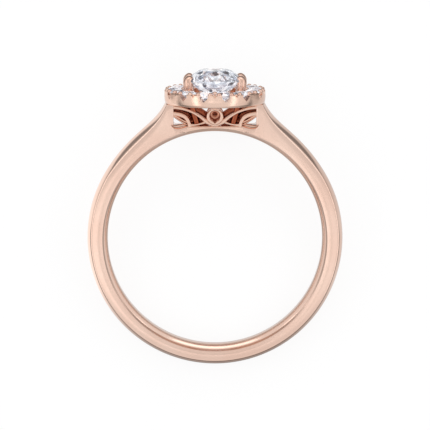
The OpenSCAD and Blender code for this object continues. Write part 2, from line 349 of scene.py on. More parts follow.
def polish_group():
    """Polished metal: a slow change of tone, finer buffing marks in gloss and relief, in one group."""
    tree = bpy.data.node_groups.new("polished_metal", "ShaderNodeTree")
    face = tree.interface
    for name, kind, value in (
        ("Metal", "NodeSocketColor", (0.9, 0.65, 0.53, 1)),
        ("Deep tone", "NodeSocketColor", (0.85, 0.55, 0.42, 1)),
        ("Tone scale", "NodeSocketFloat", 260.0),
        ("Gloss", "NodeSocketFloat", 0.1),
        ("Matt", "NodeSocketFloat", 0.2),
        ("Mark scale", "NodeSocketFloat", 2600.0),
        ("Relief", "NodeSocketFloat", 0.08),
    ):
        socket = face.new_socket(name=name, in_out="INPUT", socket_type=kind)
        socket.default_value = value
    face.new_socket(name="Color", in_out="OUTPUT", socket_type="NodeSocketColor")
    face.new_socket(name="Roughness", in_out="OUTPUT", socket_type="NodeSocketFloat")
    face.new_socket(name="Normal", in_out="OUTPUT", socket_type="NodeSocketVector")
    given = add_node(tree, "NodeGroupInput", (-900, 0))
    out = add_node(tree, "NodeGroupOutput", (700, 0))
    place_on = add_node(tree, "ShaderNodeTexCoord", (-900, -300))
    tone = add_node(tree, "ShaderNodeTexNoise", (-600, 200), Detail=2.0, Roughness=0.5)
    marks = add_node(tree, "ShaderNodeTexNoise", (-600, -100), Detail=5.0, Roughness=0.65)
    hairs = add_node(tree, "ShaderNodeTexWave", (-600, -450), [("wave_type", "BANDS")],
                     Distortion=18.0, Detail=3.0, Detail_Scale=2.5)
    blend = add_node(tree, "ShaderNodeMix", (-100, 250), [("data_type", "RGBA")])
    bump = add_node(tree, "ShaderNodeBump", (300, -300), Distance=0.01 * MM)
    link = tree.links.new
    for texture in (tone, marks, hairs):
        link(place_on.outputs["Object"], texture.inputs["Vector"])
    link(given.outputs["Tone scale"], tone.inputs["Scale"])
    link(given.outputs["Mark scale"], marks.inputs["Scale"])
    link(given.outputs["Mark scale"], hairs.inputs["Scale"])
    link(ranged(tree, tone.outputs["Fac"], (-350, 200), (0.35, 0.65)), blend.inputs["Factor"])
    link(given.outputs["Metal"], blend.inputs["A"])
    link(given.outputs["Deep tone"], blend.inputs["B"])
    gloss = ranged(tree, marks.outputs["Fac"], (-100, 0), (0.3, 0.7))
    link(given.outputs["Gloss"], gloss.node.inputs["To Min"])
    link(given.outputs["Matt"], gloss.node.inputs["To Max"])
    height = reckoned(tree, "ADD", (-100, -300), marks.outputs["Fac"], hairs.outputs["Fac"])
    link(height, bump.inputs["Height"])
    link(given.outputs["Relief"], bump.inputs["Strength"])
    link(blend.outputs["Result"], out.inputs["Color"])
    link(gloss, out.inputs["Roughness"])
    link(bump.outputs["Normal"], out.inputs["Normal"])
    return tree


def painted_shade_group():
    """Painted shade: gold deepens inside the head, below the halo and away from both panels' faces.

    Each of three shares fades over a span of the distance from the ring's middle: along the finger,
    where the group's own reach gives the span, and twice towards the head. Their product is the
    deeper tone's part.
    """
    tree = bpy.data.node_groups.new("deep_in_the_head", "ShaderNodeTree")
    face = tree.interface
    for name, kind in (("Color", "NodeSocketColor"), ("Hollow tone", "NodeSocketColor"),
                       ("Reach", "NodeSocketFloat"), ("Full reach", "NodeSocketFloat")):
        face.new_socket(name=name, in_out="INPUT", socket_type=kind)
    face.new_socket(name="Color", in_out="OUTPUT", socket_type="NodeSocketColor")
    given = add_node(tree, "NodeGroupInput", (-700, 400))
    out = add_node(tree, "NodeGroupOutput", (500, 0))
    spot = add_node(tree, "ShaderNodeTexCoord", (-1200, 0))
    link = tree.links.new
    spans = ((150, TO_BACK, 1.0, 0.9), (-150, TO_HEAD, HALO_LOW + 0.02, HALO_LOW - 0.2),
             (-450, TO_HEAD, INNER_R + 0.2, INNER_R + 0.34))
    shares = []
    for y, axis, near, far in spans:
        along = add_node(tree, "ShaderNodeVectorMath", (-1000, y), [("operation", "DOT_PRODUCT")])
        along.inputs[1].default_value = axis
        link(spot.outputs["Object"], along.inputs[0])
        from_middle = reckoned(tree, "SUBTRACT", (-800, y), along.outputs["Value"], float(CENTRE @ axis))
        away = reckoned(tree, "ABSOLUTE", (-600, y), from_middle)
        shares.append(ranged(tree, away, (-400, y), (near * MM, far * MM)))
    link(given.outputs["Reach"], shares[0].node.inputs["From Min"])
    link(given.outputs["Full reach"], shares[0].node.inputs["From Max"])
    below_halo = reckoned(tree, "MULTIPLY", (-100, 0), shares[0], shares[1])
    inside = reckoned(tree, "MULTIPLY", (50, -150), below_halo, shares[2])
    blend = add_node(tree, "ShaderNodeMix", (200, 0), [("data_type", "RGBA")])
    link(inside, blend.inputs["Factor"])
    link(given.outputs["Color"], blend.inputs["A"])
    link(given.outputs["Hollow tone"], blend.inputs["B"])
    link(blend.outputs["Result"], out.inputs["Color"])
    return tree


# The tone is the painted shade's colour, and the reach is how far along the finger it goes
def gold(name, group, painted_shade=None, reach=0.98, tone=(0.36, 0.10, 0.05, 1), **values):
    """Rose gold with its own values for the polish, and painted shade inside the head if given."""
    material = bpy.data.materials.new(name)
    material.use_nodes = True
    tree = material.node_tree
    shader = tree.nodes["Principled BSDF"]
    shader.inputs["Metallic"].default_value = 1.0
    finish = add_node(tree, "ShaderNodeGroup", (-600, 0), [("node_tree", group)], **values)
    colour = finish.outputs["Color"]
    if painted_shade:
        painted_shade_node = add_node(tree, "ShaderNodeGroup", (-300, 200), [("node_tree", painted_shade)],
                        Hollow_tone=tone, Reach=reach * MM, Full_reach=(reach - PAINTED_SHADE_FADE) * MM)
        tree.links.new(colour, painted_shade_node.inputs["Color"])
        colour = painted_shade_node.outputs["Color"]
    tree.links.new(colour, shader.inputs["Base Color"])
    tree.links.new(finish.outputs["Roughness"], shader.inputs["Roughness"])
    tree.links.new(finish.outputs["Normal"], shader.inputs["Normal"])
    return material


def gem(name):
    """A cut stone: half clear, with its facets' bright and dark patches painted on, and a painted glow.
    """
    material = bpy.data.materials.new(name)
    material.use_nodes = True
    tree = material.node_tree
    link = tree.links.new
    shader = tree.nodes["Principled BSDF"]
    shader.inputs["IOR"].default_value = 2.4
    shader.inputs["Transmission Weight"].default_value = 0.9
    # Painted glints: the stone glows, brightest where the same cells paint it bright
    shader.inputs["Emission Strength"].default_value = 0.30
    spot = add_node(tree, "ShaderNodeTexCoord", (-1100, 0))
    cells = add_node(tree, "ShaderNodeTexVoronoi", (-900, 100), [("voronoi_dimensions", "4D")],
                     W=5.3, Scale=2500.0)
    noise = add_node(tree, "ShaderNodeTexNoise", (-900, -250), Scale=700.0, Detail=3.0)
    # Painted reflections: dark and bright cells in the base colour
    ramp = ramp_through(tree, (-600, 100), (
        (0.0, (0.02, 0.02, 0.03)), (0.16, (0.05, 0.06, 0.09)), (0.21, (0.56, 0.61, 0.76)),
        (0.55, (0.82, 0.87, 1.0)), (1.0, (0.96, 0.98, 1.0))))
    painted_glint = ranged(tree, cells.outputs["Color"], (-600, -100), (0.55, 0.75), (0.12, 1.0))
    gloss = ranged(tree, noise.outputs["Fac"], (-400, -250), (0.0, 1.0), (0.0, 0.03))
    link(spot.outputs["Object"], cells.inputs["Vector"])
    link(spot.outputs["Object"], noise.inputs["Vector"])
    link(cells.outputs["Color"], ramp.inputs["Fac"])
    link(ramp.outputs["Color"], shader.inputs["Base Color"])
    link(painted_glint, shader.inputs["Emission Color"])
    link(gloss, shader.inputs["Roughness"])
    return material


polish = polish_group()
painted_shade = painted_shade_group()
band_gold = gold("rose_gold_band", polish, Metal=(0.93, 0.68, 0.56, 1),
                 Deep_tone=(0.90, 0.63, 0.51, 1), Tone_scale=240.0, Gloss=0.10, Matt=0.16,
                 Mark_scale=2400.0, Relief=0.05)
HEAD_FINISH = dict(Metal=(0.93, 0.67, 0.54, 1), Deep_tone=(0.88, 0.58, 0.45, 1), Tone_scale=420.0,
                   Gloss=0.10, Matt=0.20, Mark_scale=3600.0, Relief=0.08)
PRONG_FINISH = HEAD_FINISH | dict(Metal=(0.90, 0.62, 0.50, 1), Deep_tone=(0.80, 0.50, 0.38, 1),
                                  Tone_scale=900.0)
# Painted shade inside the head: lighter on the roundels, further along the finger on the prongs
head_gold = gold("rose_gold_head", polish, painted_shade, **HEAD_FINISH)
roundel_gold = gold("rose_gold_roundels", polish, painted_shade, 0.98, (0.62, 0.30, 0.20, 1), **HEAD_FINISH)
prong_gold = gold("rose_gold_prongs", polish, painted_shade, 1.6, **PRONG_FINISH)
grain_gold = gold("rose_gold_grains", polish, Metal=(0.93, 0.66, 0.54, 1),
                  Deep_tone=(0.86, 0.54, 0.43, 1), Tone_scale=900.0, Gloss=0.06, Matt=0.16,
                  Mark_scale=5200.0, Relief=0.05)
clear_stone = gem("clear_stone_finish")


# Band and shoulders

# Where the shoulders' outer line meets the halo
TOP_X = HALO_LOW_R - TOP_INSET
TOP_Z = HALO_LOW + TOP_RISE
TOP_ANGLE = math.degrees(math.atan2(TOP_Z, TOP_X))


def comfort(y):
    """How far the inside has curved away, as a share: a parabola from the land, then a bevel."""
    start = HALF_W - BEVEL_DEPTH
    curved = np.clip((np.abs(y) - LAND_W / 2) / (start - LAND_W / 2), 0, 1) ** 2
    bevelled = np.clip((np.abs(y) - start) / BEVEL_DEPTH, 0, 1)
    return (1 - BEVEL_SHARE) * curved + BEVEL_SHARE * bevelled


def section(y0, y1, edge, reach):
    """Closed section between an inner and an outer line, as columns: outer or not, y, depth, rise.

    A point lies its depth plus its rise times a height away from its own line. On the inner line the
    rise is comfort() and the height the comfort drop. On the outer one it is the square of the share
    of the way from the middle to the side, and the height is the crown's. The outer corners are
    quadratic curves from one edge width along the crown to one edge width down the side face.
    Towards both edges the side faces roll in by the square of the way into a reach.
    """
    land = LAND_W / 2
    turn = np.radians(np.linspace(0, 90, 12))
    away = np.append(land + (HALF_W - BEVEL_DEPTH - land) * np.sin(turn), HALF_W)
    inner_y = np.concatenate([-away[::-1], away])
    inner_y = np.unique(np.clip(inner_y, y0, y1))
    inner_rise = comfort(inner_y)
    t = np.linspace(0, 1, 7)
    half = max(abs(y0), abs(y1))
    corner_y = quadratic(t, y1 - edge, y1, y1)
    corner_depth = t * t * edge
    corner_rise = quadratic(t, ((half - edge) / half) ** 2, 1, 1)
    low_y = quadratic(t, y0 + edge, y0, y0)
    crown_y = np.linspace(y1 - edge, y0 + edge, CROWN_STEPS + 1)[1:-1]
    outer_y = np.concatenate([corner_y[::-1], crown_y, low_y])
    outer_depth = np.concatenate([corner_depth[::-1], 0 * crown_y, corner_depth])
    outer_rise = np.concatenate([corner_rise[::-1], (crown_y / half) ** 2, corner_rise])
    near = reach * np.array([0.15, 0.35, 0.6])
    far = edge + reach * np.array([1.0, 0.7, 0.45, 0.2])
    columns = [
        np.concatenate([0 * inner_y, 0 * near, 0 * far + 1, 0 * outer_y + 1, 0 * far + 1, 0 * near]),
        np.concatenate([inner_y, 0 * near + y1, 0 * far + y1, outer_y, 0 * far + y0, 0 * near + y0]),
        np.concatenate([0 * inner_y, near, far, outer_depth, far[::-1], near[::-1]]),
        np.concatenate([inner_rise, 0 * near + comfort(y1), 0 * far + 1, outer_rise, 0 * far + 1,
                        0 * near + comfort(y0)]),
    ]
    is_outer, y, depth, lift = columns
    way_in = np.clip(1 - (depth - edge * is_outer) / reach, 0, 1) ** 2
    return np.array([is_outer, y * (1 - FACE_ROLL * way_in / half), depth, lift])


def section_rings(inner, outer, rise, drop, columns):
    """The section carried along: each ring spans from its inner to its outer point, in X and Z.

    The crown's height and the comfort drop are given for each ring.
    """
    is_outer, y, depth, lift = columns
    way = outer - inner
    way /= np.linalg.norm(way, axis=1, keepdims=True)
    far = is_outer[None, :, None]
    height = np.where(is_outer[None, :] > 0, rise[:, None], drop[:, None])
    down = way[:, None] * (depth[None, :] + lift[None, :] * height)[:, :, None]
    flat = (1 - far) * (inner[:, None] + down) + far * (outer[:, None] - down)
    tall = np.broadcast_to(y[None, :], flat.shape[:2])
    return np.stack([flat[:, :, 0], tall, flat[:, :, 1]], axis=-1)


def on_circle(r, degrees):
    """Points on a circle, at angles counted from X towards the head."""
    a = np.radians(degrees)
    return np.stack([r * np.cos(a), r * np.sin(a)], axis=-1)


def shank_half():
    """Inner and outer line of the right half, from the foot of the ring to the seam.

    The outer line keeps the band's radius up to the shoulder, then gains a slow square and a steep
    eighth power of the way along it. At the halo it crosses to the window, goes down its wall, round
    its corner and along the foot's top. The inner line stays on the finger's circle. It keeps step
    with the outer one up to the hold angle, and above that it stays outside the window's wall.
    """
    a = np.concatenate([np.linspace(-90, 28, 70), np.linspace(30, 58, 34),
                        np.linspace(58.6, TOP_ANGLE, 44)])
    s = np.clip((a - SHOULDER_START) / (TOP_ANGLE - SHOULDER_START), 0, 1)
    gain = math.hypot(TOP_X, TOP_Z) - OUTER_R
    r = OUTER_R + gain * (SLOW_SHARE * s**SLOW_POWER + (1 - SLOW_SHARE) * s**STEEP_POWER)
    rise = CROWN_H + (RIDGE_H - CROWN_H) * np.sin(np.pi * s)
    foot_top = INNER_R + FOOT_T
    corner = np.array([WINDOW_X - CORNER_R, foot_top + CORNER_R])
    across = np.stack([np.linspace(TOP_X, WINDOW_X, 6)[1:], np.full(5, TOP_Z)], axis=-1)
    down = np.stack([np.full(18, WINDOW_X), np.linspace(TOP_Z, corner[1], 19)[1:]], axis=-1)
    bend = corner + on_circle(CORNER_R, np.linspace(0, -90, 13)[1:])
    along = np.stack([np.linspace(corner[0], SEAM_X, 9)[1:], np.full(8, foot_top)], axis=-1)
    rest = np.concatenate([across, down, bend, along])
    outer = np.concatenate([on_circle(r[:, None], a[:, None])[:, 0], rest])
    marks = np.cumsum([0, 5, 18, 12, 8])
    seam = math.degrees(math.acos(SEAM_X / INNER_R))
    wall = math.degrees(math.acos(WINDOW_X / INNER_R))
    fan_ends = [wall + past for past in WALL_FAN] + [seam]
    slowed = np.interp(a, [-90, HOLD_ANGLE, TOP_ANGLE], [-90, HOLD_ANGLE, fan_ends[0]])
    count = np.arange(1, len(rest) + 1)
    inner = on_circle(INNER_R, np.concatenate([slowed, np.interp(count, marks, fan_ends)]))
    fade = np.interp(count, marks[:2], [CROWN_H, 0.0])
    return inner, outer, np.concatenate([rise, fade])


def shank():
    """Band and shoulders in one sweep from the right seam round the foot to the left seam."""
    inner, outer, rise = shank_half()
    flip = np.array([-1.0, 1.0])
    inner = np.concatenate([inner[::-1], inner[1:] * flip])
    outer = np.concatenate([outer[::-1], outer[1:] * flip])
    rise = np.concatenate([rise[::-1], rise[1:]])
    drop = COMFORT_DROP - FOOT_DROP * inner[:, 1] / INNER_R
    columns = section(-HALF_W, HALF_W, EDGE, ROLL_REACH)
    return [skin(section_rings(inner, outer, rise, drop, columns))]


def rails():
    """Rails between the seams: the finger's circle below, a level line above."""
    x = np.linspace(-SEAM_X - SEAM_LAP, SEAM_X + SEAM_LAP, 60)
    inner = np.stack([x, np.sqrt(INNER_R**2 - x * x)], axis=-1)
    outer = np.stack([x, np.full(60, RAIL_TOP)], axis=-1)
    drop = np.full(60, COMFORT_DROP - FOOT_DROP)
    columns = section(RAIL_FRONT, RAIL_BACK, RAIL_EDGE, RAIL_ROLL)
    return both_ways([skin(section_rings(inner, outer, np.zeros(60), drop, columns))], 1)


# Gallery


def superellipse(n, power):
    """A rounded rectangle in a unit box: cosine and sine, each raised to a power with its sign."""
    q = np.linspace(0, 2 * np.pi, n, endpoint=False)
    shape = np.stack([np.cos(q), np.sin(q)], axis=-1)
    return np.sign(shape) * np.abs(shape) ** power


def wire(shares, widths, y_mid=PANEL_Y, depth=PANEL_T, power=0.5):
    """A rounded section carried along a cubic curve through widths that are evenly spaced on it.

    The section stands square to the curve's own direction, and its depth lies along Y.
    """
    c = np.array(shares) * [WINDOW_X, HALO_LOW - RAIL_TOP] + [0, RAIL_TOP]
    t = np.linspace(0, 1, WIRE_STEPS)[:, None]
    middle = (1 - t) ** 3 * c[0] + 3 * t * (1 - t) ** 2 * c[1] + 3 * t * t * (1 - t) * c[2] + t**3 * c[3]
    way = quadratic(t, c[1] - c[0], c[2] - c[1], c[3] - c[2])
    way /= np.linalg.norm(way, axis=1, keepdims=True)
    side = np.stack([-way[:, 1], way[:, 0]], axis=-1)
    width = np.interp(t[:, 0], np.linspace(0, 1, len(widths)), widths)
    shape = superellipse(WIRE_POINTS, power)
    flat = middle[:, None] + side[:, None] * (shape[None, :, :1] * width[:, None, None] / 2)
    tall = np.broadcast_to(y_mid + shape[None, :, 1] * depth / 2, flat.shape[:2])
    return skin(np.stack([flat[:, :, 0], tall, flat[:, :, 1]], axis=-1))


def gallery_wires():
    """Arms, links, scrolls, strands, spurs, petals and foot curls beside the front roundel.

    The wires of the back panel, which lies on the table, are plainer and wider. A short collar joins
    each roundel to the halo.
    """
    front = both_ways([
        wire(ARM, (0.42, 0.27, 0.23, 0.29, 0.40), PANEL_Y - ARM_PROUD),
        wire(LINK, (0.32, 0.30, 0.30), PANEL_Y - ARM_PROUD),
        wire(SCROLL, (0.36, 0.32, 0.38, 0.42, 0.40)),
        wire(STRAND, (0.16, 0.20, 0.16), PANEL_Y + STRAND_BEHIND, power=0.7),
        wire(SPUR, (0.16, 0.15, 0.16), power=0.7),
        wire(PETAL, (0.26, 0.17, 0.26)),
        wire(CURL, (0.10, 0.22, 0.28, 0.24, 0.12), CURL_Y, CURL_T, 1.0),
    ], 0)
    back = both_ways([wire(ARM, (1.0, 0.9)), wire(SCROLL, (0.66, 0.66)), wire(PETAL, (0.7, 0.8)),
                      wire(STRAND, (0.5, 0.4))], 0)
    collar = wire(COLLAR, (0.5, 0.42, 0.62))
    return front + [collar, mirrored(collar, 1)] + [mirrored(part, 1) for part in back]


def grooves():
    """What is cut into the front side face: a groove under each curl, and the seam beside it."""
    return both_ways([
        wire(GROOVE, (0.05, 0.09, 0.11, 0.11, 0.05), -HALF_W, GROOVE_T, 1.0),
        wire(SEAM, (0.07, 0.08, 0.06), -HALF_W, SEAM_T, 1.0),
    ], 0)


def roundel(hole_r):
    """An open roundel: at each angle a domed section from a pointed opening out to a circle.

    The opening is a circle above. Below it is the larger of that circle and a wedge that comes to a
    point. Its sizes are shares of the opening's radius.
    """
    a = np.linspace(0, 2 * np.pi, 96, endpoint=False)
    way = np.stack([np.cos(a), np.sin(a)], axis=-1)
    middle = np.array([0.0, ROUNDEL_Z])
    hole_middle = middle + [0, HOLE_LIFT * hole_r]
    side, foot = WEDGE_HALF * hole_r, WEDGE_FOOT * hole_r
    circle = HOLE_ROUND * hole_r
    wedge = side * foot / (foot * np.abs(way[:, 0]) + side * np.abs(way[:, 1]))
    hole = np.where(way[:, 1] < 0, np.maximum(wedge, circle), circle)
    opening = hole_middle + way * hole[:, None]
    rim = middle + way * ROUNDEL_R
    shape = superellipse(WIRE_POINTS, ROUNDEL_POWER)
    share = (1 + shape[:, 0]) / 2
    front, back = ROUNDEL_FRONT, PANEL_Y + PANEL_T / 2
    y = (front + back) / 2 + shape[:, 1] * (back - front) / 2
    flat = opening[:, None] + (rim - opening)[:, None] * share[None, :, None]
    tall = np.broadcast_to(y[None, :], flat.shape[:2])
    return skin(np.stack([flat[:, :, 0], tall, flat[:, :, 1]], axis=-1), loop=True)


def roundels():
    """The front roundel, and the back one with a smaller opening."""
    return [roundel(HOLE_R), mirrored(roundel(BACK_HOLE_R), 1)]


# Halo


def halo_profile():
    """Section of the halo as (radius, height), from the lower edge up the outside and back inside.

    The belly widens by the sine of the height. The three edges are quarter circles.
    """
    t = np.linspace(0, 1, 7)
    sine, cosine = np.sin(t * np.pi / 2), np.cos(t * np.pi / 2)
    low = np.stack([HALO_LOW_R - LOW_EDGE * (1 - sine), HALO_LOW + LOW_EDGE * (1 - cosine)], axis=-1)
    belly_z = np.linspace(HALO_LOW + 0.14, HALO_LOW + HALO_LIP, 8)
    belly_u = (belly_z - HALO_LOW) / HALO_LIP
    belly_r = HALO_LOW_R + (HALO_R - HALO_LOW_R) * np.sin(belly_u * np.pi / 2)
    belly = np.stack([belly_r, belly_z], axis=-1)
    wall_z = np.linspace(HALO_LOW + HALO_LIP + 0.03, HALO_TOP - 0.13, 14)
    wall = np.stack([np.full(14, HALO_R), wall_z], axis=-1)
    rim_middle = np.array([HALO_R - RIM_EDGE, HALO_TOP - RIM_EDGE])
    rim = rim_middle + RIM_EDGE * np.stack([cosine, sine], axis=-1)
    top = np.stack([np.linspace(HALO_R - 0.15, OPENING_R + 0.1, 40), np.full(40, HALO_TOP)], axis=-1)
    lip_middle = np.array([OPENING_R + LIP_EDGE, HALO_TOP - LIP_EDGE])
    lip = lip_middle + LIP_EDGE * np.stack([-sine, cosine], axis=-1)
    bore = np.stack([np.full(6, OPENING_R), np.linspace(HALO_TOP - 0.1, HALO_LOW + 0.06, 6)], axis=-1)
    under_r = np.linspace(OPENING_R + 0.05, HALO_LOW_R - 0.12, 12)
    under = np.stack([under_r, np.full(12, HALO_LOW)], axis=-1)
    return np.concatenate([low, belly, wall, rim, top, lip, bore, under])


def stone_angle(k):
    """Where halo stone k stands about the head's axis, in degrees."""
    return 360 * (k + 0.5) / STONE_N - 90


def halo_shell():
    """Height field on the halo's section, carried round its axis and repeated for each stone.

    Across a stone's sector the columns first keep a constant distance t from the stone's own radius,
    out to the width of its cut, and then fan out evenly. Outside the stone's middle a point is
    lowered to the cut: a round-bottomed channel with a sharp notch in its floor. Near the stone it
    is lowered to the seat: a cone that opens upwards. Halfway between two stones the rim is lowered
    to a shallow vee.
    """
    profile = halo_profile()
    r = profile[:, :1]
    z = profile[:, 1:]
    half_sector = np.pi / STONE_N
    tau = np.linspace(-np.pi / 2, np.pi / 2, 33)
    t = CUT_R * np.sin(tau)[None, :]
    cut = np.arcsin(np.clip(t / r, -1, 1))
    share = np.linspace(0, 1, 15)[None, 1:]
    edge = cut[:, -1:]
    fan = edge + (half_sector - edge) * share
    angle = np.concatenate([cut, fan[:, :-1], -fan[:, ::-1]], axis=1)
    angle = np.sort(angle, axis=1)
    x, y = r * np.cos(angle), r * np.sin(angle)
    away = np.hypot(x - STONE_CIRCLE_R, y)
    seat_r = STONE_D / 2 + SEAT_GAP
    open_air = HALO_TOP + 1
    cone = STONE_Z - GIRDLE_HALF - (seat_r - away) * PAVILION_SLOPE
    seat = np.where(away < seat_r, cone, open_air)
    inside = np.clip(1 - (y / CUT_R) ** 2, 0, None)
    channel = HALO_TOP - CUT_H + CUT_R - CUT_R * np.sqrt(inside)
    notch = HALO_TOP - CUT_H - NOTCH_H + np.abs(y)
    in_cut = (np.abs(y) < CUT_R * 0.999) & (x > STONE_CIRCLE_R)
    opened = np.where(in_cut, np.minimum(channel, notch), open_air)
    from_gap = r * (half_sector - np.abs(angle))
    in_vee = (from_gap < VEE_HALF) & (x > STONE_CIRCLE_R + VEE_INSET)
    vee = np.where(in_vee, HALO_TOP - VEE_DEPTH * (1 - from_gap / VEE_HALF), open_air)
    height = np.minimum(np.minimum(np.broadcast_to(z, x.shape), vee), np.minimum(seat, opened))
    height = np.where(z > HALO_LOW + SOLID_H, height, z)
    rings = []
    for k in range(STONE_N):
        sector = np.stack([x, y, height], axis=-1)[:, :-1].transpose(1, 0, 2)
        rings.append(turned(sector, stone_angle(k)))
    return [skin(np.concatenate(rings), loop=True)]


def azures():
    """Round drills that come up from below, under each stone, as closed tubes."""
    a = np.linspace(0, 2 * np.pi, 32, endpoint=False)
    parts = []
    for k in range(STONE_N):
        ring = np.stack([STONE_CIRCLE_R + AZURE_R * np.cos(a), AZURE_R * np.sin(a), 0 * a], axis=-1)
        tube = np.stack([ring + [0, 0, HALO_LOW - AZURE_BELOW], ring + [0, 0, HALO_LOW + AZURE_TOP]])
        parts.append(skin(turned(tube, stone_angle(k))))
    return parts


def grains():
    """Beads between the stones: domes on short stems, in pairs at the wall and single inside.

    A bead's profile, as shares of its size, is carried round its own axis. The sizes vary a little.
    """
    profile = np.array([(1.2, -1.7), (1.08, -0.6), (1.0, 0.0), (0.96, 0.28), (0.86, 0.51), (0.7, 0.71),
                        (0.5, 0.87), (0.26, 0.97), (0.06, 1.0)])
    a = np.linspace(0, 2 * np.pi, 20, endpoint=False)
    rng = np.random.default_rng(4)
    wall_r = HALO_R - BEAD_INSET - PAIR_R
    aside = math.degrees(PAIR_GAP / wall_r)
    rows = ((wall_r, PAIR_R, aside, PAIR_LIFT), (wall_r, PAIR_R, -aside, PAIR_LIFT),
            (OPENING_R + BEAD_INSET + BEAD_R, BEAD_R, 0.0, 0.0))
    parts = []
    for k in range(STONE_N):
        for from_middle, size, shift, lift in rows:
            size *= rng.uniform(0.92, 1.04)
            r = profile[:, :1] * size
            x, y = from_middle + r * np.cos(a), r * np.sin(a)
            z = np.broadcast_to(profile[:, 1:] * size * GRAIN_H + HALO_TOP + lift, x.shape)
            turn = 360 * k / STONE_N - 90 + shift
            parts.append(skin(turned(np.stack([x, y, z], axis=-1), turn)))
    return parts


# Prongs


def prongs():
    """Four round tubes that lean out past the stone's girdle, bend in over it and end in a dome.

    Each follows a quadratic curve from its foot to its head, drawn towards the knee, and then an arc.
    The radius grows where the leg enters the halo and tapers along the arc.
    """
    head = np.array([CENTRE_STONE_R + PRONG_OUT * 2 * PRONG_R,
                     GIRDLE_Z + PRONG_TIP - PRONG_R - CLAW_BEND_H])
    foot = np.array([PRONG_FOOT, PRONG_ROOT])
    knee = np.array([head[0] - KNEE_INSET, KNEE_Z])
    t = np.linspace(0, 1, 30)[:, None]
    leg = quadratic(t, foot, knee, head)
    way = (head - knee) / np.linalg.norm(head - knee)
    lean = math.atan2(way[0], way[1])
    middle = head + np.array([-way[1], way[0]]) * CLAW_BEND_R
    turn = np.linspace(0, math.radians(CLAW_TURN), 12)[1:] - lean
    bend = middle + CLAW_BEND_R * np.stack([np.cos(turn), np.sin(turn)], axis=-1)
    line = np.concatenate([leg, bend])
    entry = [HALO_LOW - LEG_BLEND, HALO_LOW + LEG_BLEND]
    leg_radius = np.interp(leg[:, 1], entry, [LEG_R, PRONG_R])
    radius = np.concatenate([leg_radius, PRONG_R * np.linspace(1, CLAW_TAPER, 11)])
    path = np.gradient(line, axis=0)
    path /= np.linalg.norm(path, axis=1, keepdims=True)
    dome = np.linspace(0, np.pi / 2, 8)[1:]
    tip = line[-1] + path[-1] * radius[-1] * np.sin(dome)[:, None]
    tip_radius = radius[-1] * np.cos(dome) + THIN
    line = np.concatenate([line, tip])
    radius = np.concatenate([radius, tip_radius])
    path = np.concatenate([path, np.repeat(path[-1:], 7, axis=0)])
    a = np.linspace(0, 2 * np.pi, 40, endpoint=False)
    across = np.stack([path[:, 1], -path[:, 0]], axis=-1)
    x = line[:, :1] + across[:, :1] * radius[:, None] * np.cos(a)
    z = line[:, 1:] + across[:, 1:] * radius[:, None] * np.cos(a)
    y = radius[:, None] * np.sin(a)
    rings = np.stack([x, np.broadcast_to(y, x.shape), z], axis=-1)
    turned_to = (PRONG_ANGLE, 180 - PRONG_ANGLE, 180 + PRONG_ANGLE, -PRONG_ANGLE)
    return [skin(turned(rings, degrees)) for degrees in turned_to]


def lathe(profile, axis):
    """A closed solid of revolution: (radius, height) points carried round axis 2, Z, or axis 1, Y."""
    a = np.linspace(0, 2 * np.pi, 128, endpoint=False)
    r, h = np.array(profile)[:, :1], np.array(profile)[:, 1:]
    one, other = r * np.cos(a), r * np.sin(a)
    tall = np.broadcast_to(h, one.shape)
    columns = [one, other, tall] if axis == 2 else [one, tall, other]
    return skin(np.stack(columns, axis=-1))


def prong_room():
    """Room that the prongs leave: the centre stone with a small gap, and the finger hole."""
    r = CENTRE_STONE_R + SEAT_GAP
    girdle = CENTRE_STONE_R * GIRDLE_SHARE + SEAT_GAP
    below = r * PAVILION_SLOPE
    above = r * (1 - TABLE_SHARE) * CROWN_SLOPE
    stone = [(THIN, GIRDLE_Z - girdle - below), (r, GIRDLE_Z - girdle), (r, GIRDLE_Z + girdle),
             (r * TABLE_SHARE, GIRDLE_Z + girdle + above)]
    y = np.concatenate([-np.linspace(HALF_W, LAND_W / 2, 12), np.linspace(LAND_W / 2, HALF_W, 12)])
    hole = np.stack([INNER_R + COMFORT_DROP * comfort(y), y], axis=-1)
    return [lathe(stone, 2), lathe(hole, 1)]


def gold_pieces():
    """All the gold, made, cut and given its finish; together it stands for the setting."""
    band = make_piece("shank", shank(), band_gold, SHANK_SHARP)
    gallery = [
        make_piece("base_rails", rails(), head_gold),
        make_piece("gallery_wires", gallery_wires(), head_gold),
        make_piece("roundels", roundels(), roundel_gold),
    ]
    halo = make_piece("halo", halo_shell(), head_gold, HALO_SHARP)
    beads = make_piece("grains", grains(), grain_gold)
    claws = make_piece("prongs", prongs(), prong_gold)
    carve(band, make_piece("groove_cutter", grooves(), band_gold), band_gold, SHANK_SHARP)
    carve(halo, make_piece("azure_cutter", azures(), head_gold), head_gold, HALO_SHARP)
    carve(claws, make_piece("room_cutter", prong_room(), head_gold), prong_gold)
    for piece in (band, *gallery, halo, beads, claws):
        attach(piece, "root")
        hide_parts("setting")


gold_pieces()
for name, stone in frame["nodes"].items():
    if name != "setting":
        stone.data.materials.clear()
        stone.data.materials.append(clear_stone)


# Studio

PHOTO_SIZE = 430
RING_PIXEL = (214.9, 236.9)
PIXELS_PER_MM = 12.39
CAMERA_AWAY = 800.0
CAMERA_ABOVE = 7.5
TABLE_GLOW = 0.86
SIDE_LIFT = 0.38
HEAD_LIFT = 0.3


def look_along(thing, spot, aim, up):
    """Puts a camera or light at a spot, facing its aim, with its top side towards up."""
    ahead = (aim - spot).normalized()
    right = ahead.cross(up).normalized()
    turn = Matrix((right, right.cross(ahead), -ahead)).transposed()
    thing.matrix_world = Matrix.Translation(spot) @ turn.to_4x4()


